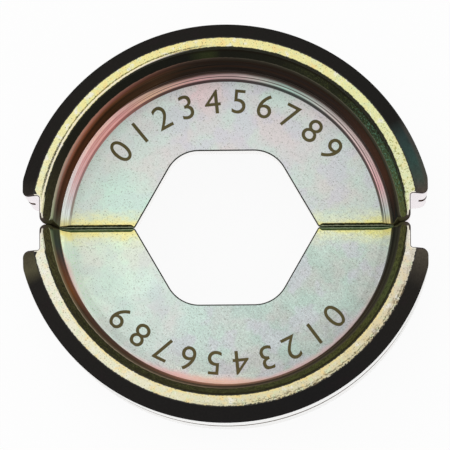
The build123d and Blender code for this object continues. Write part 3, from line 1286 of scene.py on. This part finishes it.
def steel_finish(name, colour, metallic, roughness):
    """Plain bright plating with a soft cast and a fine grain."""
    finish = Finish(name, metallic, 0.5)
    clouds = finish.noise(2.6, 3.0, 0.6)
    fine = finish.noise(0.3, 2.0, 0.6)
    finish.base = finish.mix(clouds.ease(0.45, 0.7) * 0.3, colour, (246, 230, 232))
    speck = finish.noise(0.25, 1.0, 0.5, shift=2.0).ease(0.66, 0.75)
    finish.paint(speck * 0.4, (190, 184, 170))
    finish.shade(fine.blend(0.94, 1.05))
    return finish.finished(fine.blend(roughness - 0.05, roughness + 0.05), fine, 0.002)


def zone_materials(colours):
    """The material of each zone of the shell."""
    return {
        "web": web_finish(colours),
        "fillet": fillet_finish(colours),
        "wall": wall_finish(),
        "inner_bevel": inner_bevel_finish(),
        "land": land_finish(colours),
        "outer_bevel": outer_bevel_finish(),
        "back": steel_finish("round_back_plating", colours.steel, 1.0, 0.2),
        # Painted shade: the groove's brown stands in for its shade.
        "groove": dark_finish("groove_brown", (84, 58, 40)),
        "split_edge": split_edge_finish(),
        "rim_edge": rim_edge_finish(),
        "end_face": steel_finish("end_face_plating", (240, 227, 232), 0.9, 0.2),
        # Painted dark reflection on the nest's rounded edges.
        "nest_edge": dark_finish("nest_edge_dark", (56, 56, 50)),
        "nest_wall": steel_finish("nest_wall_plating", (250, 249, 246), 1.0, 0.15),
    }


# Geometry nodes

def new_geometry_tree(name, floats, strings=()):
    """A geometry tree with named inputs: its helper, its mesh, its inputs and their identifiers."""
    tree = bpy.data.node_groups.new(name, "GeometryNodeTree")
    tree.interface.new_socket("Geometry", in_out="INPUT", socket_type="NodeSocketGeometry")
    kinds = [(label, "NodeSocketString") for label in strings]
    kinds += [(label, "NodeSocketFloat") for label in floats]
    identifiers = {}
    for label, kind in kinds:
        socket = tree.interface.new_socket(label, in_out="INPUT", socket_type=kind)
        identifiers[label] = socket.identifier
    tree.interface.new_socket("Geometry", in_out="OUTPUT", socket_type="NodeSocketGeometry")
    helper = Tree(tree)
    source = helper.node("NodeGroupInput").outputs
    given = {label: Value(helper, source[label]) for label in identifiers}
    return helper, source["Geometry"], given, identifiers


def close_tree(helper, geometry):
    """Joins the last geometry to the tree's output."""
    helper.feed(helper.node("NodeGroupOutput").inputs[0], geometry)


def run_tree(piece, tree, values):
    """Runs a tree on a piece and keeps the result as the piece's plain mesh."""
    modifier = piece.modifiers.new("shape", "NODES")
    modifier.node_group = tree
    for identifier, value in values.items():
        modifier[identifier] = value
    evaluated = piece.evaluated_get(bpy.context.evaluated_depsgraph_get())
    made = bpy.data.meshes.new_from_object(evaluated)
    old = piece.data
    piece.modifiers.remove(modifier)
    piece.data = made
    bpy.data.meshes.remove(old)
    made.name = piece.name
    return piece


def ridge_tree(materials):
    """Fine turned ridges on part of the section, and a material for each zone."""
    helper, shell, given, identifiers = new_geometry_tree(
        "turned_ridges", ("Ridge pitch", "Ridge height", "Ridges begin", "Ridges end"))

    def stored(name, kind):
        """What the mesh stores under a name."""
        return helper.number("GeometryNodeInputNamedAttribute", {"Name": name}, data_type=kind)

    section = stored("section", "FLOAT")
    edge = stored("edge", "FLOAT")
    zone = stored("zone", "INT")
    begin, end = given["Ridges begin"], given["Ridges end"]
    lead_in = 0.3
    drift = helper.number("ShaderNodeTexNoise", {"Scale": 160.0, "Detail": 2.0})
    turns = section / given["Ridge pitch"] + drift * 0.25
    wave = helper.math("SINE", turns * math.tau)
    depth = section.ease(begin, begin + lead_in) * section.ease(end, end - lead_in) * (1.0 - edge)
    offset = helper.vector("SCALE", {0: helper.result("GeometryNodeInputNormal"),
                                     "Scale": wave * depth * given["Ridge height"]})
    geometry = helper.result("GeometryNodeSetPosition", {"Geometry": shell, "Offset": offset})
    geometry = helper.result("GeometryNodeRealizeInstances", {0: geometry})
    geometry = helper.result("GeometryNodeSetMaterial", {
        "Geometry": geometry, "Material": materials[ZONES[0]]})
    for number, name in enumerate(ZONES[1:], 1):
        chosen = helper.result("FunctionNodeCompare", data_type="INT", operation="EQUAL")
        helper.feed(chosen.node.inputs[2], zone)
        helper.feed(chosen.node.inputs[3], number)
        geometry = helper.result("GeometryNodeSetMaterial", {
            "Geometry": geometry, "Selection": chosen, "Material": materials[name]})
    close_tree(helper, geometry)
    return helper.tree, identifiers


def number_tree(material):
    """Numbers set along an arc, filled and raised a little off the web."""
    helper, _, given, identifiers = new_geometry_tree(
        "numbers_on_an_arc",
        ("Number height", "Number radius", "First angle", "Step", "Base height", "Rise"),
        ("Numbers",))
    digit_share = 0.66
    letters = helper.node("GeometryNodeStringToCurves", {
        "String": given["Numbers"], "Size": given["Number height"] / digit_share},
        pivot_mode="BOTTOM_CENTER").outputs
    index = helper.number("GeometryNodeInputIndex")
    angle = index * given["Step"] + given["First angle"]
    radius = given["Number radius"]
    target = helper.joined(helper.math("SINE", angle) * radius, helper.math("COSINE", angle) * radius)
    corner = helper.result("GeometryNodeInputPosition")
    foot = helper.vector("ADD", {0: corner, 1: letters["Pivot Point"]})
    moved = helper.result("GeometryNodeTranslateInstances", {
        "Instances": letters[0], "Translation": helper.vector("SUBTRACT", {0: target, 1: foot}),
        "Local Space": False})
    placed = helper.result("GeometryNodeRotateInstances", {
        "Instances": moved, "Rotation": helper.joined(z=angle * -1.0), "Pivot Point": target,
        "Local Space": False})
    loose = helper.result("GeometryNodeRealizeInstances", {0: placed})
    flat = helper.result("GeometryNodeFillCurve", {0: loose})
    filled = helper.result("GeometryNodeSetPosition", {
        "Geometry": flat, "Offset": helper.joined(z=given["Base height"])})
    raised = helper.result("GeometryNodeExtrudeMesh", {
        "Mesh": filled, "Individual": False, "Offset Scale": given["Rise"]})
    feet = helper.result("GeometryNodeFlipFaces", {0: filled})
    both = helper.node("GeometryNodeJoinGeometry")
    for part in (feet, raised):
        helper.feed(both.inputs[0], part)
    closed = helper.result("GeometryNodeMergeByDistance", {0: both.outputs[0], "Distance": 1e-7})
    whole = helper.result("GeometryNodeRealizeInstances", {0: closed})
    painted = helper.result("GeometryNodeSetMaterial", {"Geometry": whole, "Material": material})
    close_tree(helper, painted)
    return helper.tree, identifiers


# Pieces

def new_piece(name, mesh):
    """An object at the origin that holds a mesh."""
    piece = bpy.data.objects.new(name, mesh)
    bpy.context.scene.collection.objects.link(piece)
    return piece


def set_normals(piece, ridges_begin, ridges_end):
    """Gives the plain surfaces their exact normals, and leaves the ridges their own."""
    mesh = piece.data
    true_normals = mesh.attributes["true_normal"].data
    section = mesh.attributes["section"].data
    edge = mesh.attributes["edge"].data
    own = [tuple(n.vector) for n in mesh.vertex_normals]
    normals = []
    for k in range(len(mesh.vertices)):
        ridged = ridges_begin < section[k].value < ridges_end and edge[k].value < 0.001
        normals.append(own[k] if ridged else tuple(Vector(true_normals[k].vector).normalized()))
    mesh.shade_smooth()
    mesh.normals_split_custom_set_from_vertices(normals)
    for name in ("true_normal", "zone"):
        mesh.attributes.remove(mesh.attributes[name])


class DIE_OT_halves(bpy.types.Operator):
    """Build the two die halves with their rounded edges and turned ridges"""

    bl_idname = "die.halves"
    bl_label = "Die halves"
    bl_options = {"REGISTER", "UNDO"}

    def execute(self, context):
        scene = context.scene
        shape = HalfShape(scene.die_section, scene.die_ends)
        shell = half_shell(shape, scene.die_section.thickness / 2)
        turning = scene.die_turning
        begin = (shape.section.start(FILLET) + turning.lead) / MM
        end = (shape.section.end(FILLET) + turning.run_out) / MM
        tree, inputs = ridge_tree(zone_materials(scene.die_colours))
        values = {
            inputs["Ridge pitch"]: turning.pitch / MM,
            inputs["Ridge height"]: turning.height,
            inputs["Ridges begin"]: begin,
            inputs["Ridges end"]: end,
        }
        for name, node, half_turn in (("upper_half_body", "upper_die_half", False),
                                      ("lower_half_body", "lower_die_half", True)):
            piece = new_piece(name, shell_mesh(name, shell, half_turn))
            run_tree(piece, tree, values)
            set_normals(piece, begin, end)
            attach(piece, BODY)
            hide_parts(node)
        return {"FINISHED"}


class DIE_OT_numbers(bpy.types.Operator):
    """Burn a row of plain numbers round the web of each half"""

    bl_idname = "die.numbers"
    bl_label = "Plain numbers"
    bl_options = {"REGISTER", "UNDO"}

    def execute(self, context):
        scene = context.scene
        numbers = scene.die_numbers
        web_top = (scene.die_section.thickness + scene.die_section.web_thickness) / 2
        burn = dark_finish("number_burn", scene.die_colours.numbers, grain=0.12, depth=0.2)
        tree, inputs = number_tree(burn)
        centre = Matrix.Translation((0, -scene.die_section.arc_drop, 0))
        for name, radius, turn in (("upper_half_numbers", numbers.upper_radius, 0.0),
                                   ("lower_half_numbers", numbers.lower_radius, math.pi)):
            piece = new_piece(name, bpy.data.meshes.new(name))
            span = numbers.run / (radius + numbers.height / 2)
            values = {
                inputs["Numbers"]: numbers.text,
                inputs["Number height"]: numbers.height,
                inputs["Number radius"]: radius,
                inputs["First angle"]: -span / 2,
                inputs["Step"]: span / (len(numbers.text) - 1),
                inputs["Base height"]: web_top - numbers.sink,
                inputs["Rise"]: numbers.rise,
            }
            run_tree(piece, tree, values)
            piece.data.transform(Matrix.Rotation(turn, 4, "Z") @ centre)
            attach(piece, BODY)
        return {"FINISHED"}


# Studio

def photo_camera(near_distance):
    """A camera that stands over the die as it does in the photograph."""
    pixels_per_metre = 8.48e3
    image_side = 450
    image_centre = Vector((225.0, 225.0))
    die_centre = Vector((224.88, 221.37))
    upright_vanishing = Vector((355.0, 671.5))
    roll = math.radians(0.383)
    focal = pixels_per_metre * near_distance
    down = Vector(((upright_vanishing.x - image_centre.x) / focal,
                   (upright_vanishing.y - image_centre.y) / focal, 1.0)).normalized()
    near = Vector(((die_centre.x - image_centre.x) / focal * near_distance,
                   (die_centre.y - image_centre.y) / focal * near_distance, near_distance))
    to_camera = Vector((1.0, -1.0, -1.0))
    right = Vector((math.cos(roll), -math.sin(roll), 0.0))
    right = (right + down * -right.dot(down)).normalized() * to_camera
    up_axis = -down * to_camera
    turn = Matrix((right, up_axis.cross(right), up_axis)).transposed()
    offset = near * to_camera - turn @ Vector((0, 0, UPPER_HIGH.z))
    data = bpy.data.cameras.new("photo_camera")
    data.sensor_width = 36.0
    data.lens = data.sensor_width * focal / image_side
    data.clip_start, data.clip_end = 0.01, 20.0
    camera = bpy.data.objects.new("photo_camera", data)
    bpy.context.scene.collection.objects.link(camera)
    camera.matrix_world = (Matrix.Translation(offset) @ turn.to_4x4()).inverted()
    bpy.context.scene.camera = camera


def seen_rays(tree):
    """1 for what the camera, a reflection or a clear piece sees, and 0 for other light."""
    path = tree.node("ShaderNodeLightPath").outputs
    seen = Value(tree, path["Is Camera Ray"]).at_least(path["Is Glossy Ray"])
    return seen.at_least(path["Is Transmission Ray"])


def floor_material():
    """A pale floor that looks white and keeps a faint shadow of the die."""
    material = bpy.data.materials.new("pale_floor")
    material.use_nodes = True
    nodes = material.node_tree.nodes
    tree = Tree(material.node_tree)
    shader = nodes["Principled BSDF"]
    shader.inputs["Base Color"].default_value = (0.86, 0.86, 0.86, 1.0)
    shader.inputs["Roughness"].default_value = 0.9
    shader.inputs["Specular IOR Level"].default_value = 0.0
    white = tree.result("ShaderNodeEmission", {"Color": (1.0, 1.0, 1.0, 1.0), "Strength": 1.0})
    white_share = 0.94
    mixed = tree.result("ShaderNodeMixShader", {
        0: seen_rays(tree) * white_share, 1: shader.outputs[0], 2: white})
    tree.feed(nodes["Material Output"].inputs["Surface"], mixed)
    return material


def white_world(strength):
    """White surroundings: plain white to the eye, and softer as light."""
    world = bpy.data.worlds.new("white_studio")
    bpy.context.scene.world = world
    world.use_nodes = True
    tree = Tree(world.node_tree)
    background = world.node_tree.nodes["Background"]
    background.inputs["Color"].default_value = (1.0, 1.0, 1.0, 1.0)
    camera_ray = Value(tree, tree.node("ShaderNodeLightPath").outputs["Is Camera Ray"])
    tree.feed(background.inputs["Strength"], camera_ray.blend(strength, 1.0))


def soft_box(name, place, target, side, power):
    """A square soft light that faces a point."""
    data = bpy.data.lights.new(name, "AREA")
    data.shape = "SQUARE"
    data.size = side
    data.energy = power
    lamp = bpy.data.objects.new(name, data)
    bpy.context.scene.collection.objects.link(lamp)
    lamp.location = place
    lamp.rotation_euler = (Vector(target) - Vector(place)).to_track_quat("-Z", "Y").to_euler()


class DIE_OT_studio(bpy.types.Operator):
    """Lay the pale floor and set the light and the camera"""

    bl_idname = "die.studio"
    bl_label = "Studio"
    bl_options = {"REGISTER", "UNDO"}

    def execute(self, context):
        studio = context.scene.die_studio
        half = studio.floor_size / 2
        mesh = bpy.data.meshes.new("studio_floor")
        mesh.from_pydata([(-half, -half, 0), (half, -half, 0), (half, half, 0), (-half, half, 0)],
                         [], [(0, 1, 2, 3)])
        mesh.materials.append(floor_material())
        new_piece("studio_floor", mesh)
        white_world(studio.sky)
        soft_box("key_box", place=(-0.35, 0.45, 1.3), target=(0, 0, 0), side=0.9, power=studio.key)
        photo_camera(studio.near_distance)
        context.scene.view_settings.view_transform = "Standard"
        return {"FINISHED"}


class DIE_PT_sidebar(bpy.types.Panel):
    """Sizes and colours of the crimping die, and what builds it"""

    bl_idname = "DIE_PT_sidebar"
    bl_label = "Crimping die"
    bl_space_type = "VIEW_3D"
    bl_region_type = "UI"
    bl_category = "Crimping die"

    def draw(self, context):
        """Lists each group of settings with its own button."""
        for operator, groups in PANEL_ROWS:
            box = self.layout.box()
            for group in groups:
                settings = getattr(context.scene, group)
                for name in settings.bl_rna.properties.keys():
                    if name not in ("rna_type", "name"):
                        box.prop(settings, name)
            box.operator(operator)


PANEL_ROWS = (
    ("die.studio", ("die_studio",)),
    ("die.halves", ("die_section", "die_ends", "die_turning", "die_colours")),
    ("die.numbers", ("die_numbers",)),
)
CLASSES = (*SETTINGS.values(), DIE_OT_studio, DIE_OT_halves, DIE_OT_numbers, DIE_PT_sidebar)


def register():
    """Makes the operators, the settings and the sidebar known."""
    for each in CLASSES:
        bpy.utils.register_class(each)
    for name, group in SETTINGS.items():
        setattr(bpy.types.Scene, name, bpy.props.PointerProperty(type=group))


def unregister():
    """Takes them away again."""
    for name in SETTINGS:
        delattr(bpy.types.Scene, name)
    for each in reversed(CLASSES):
        bpy.utils.unregister_class(each)


def main():
    """Builds the scene."""
    register()
    bpy.ops.die.studio()
    bpy.ops.die.halves()
    bpy.ops.die.numbers()


if __name__ == "__main__":
    main()
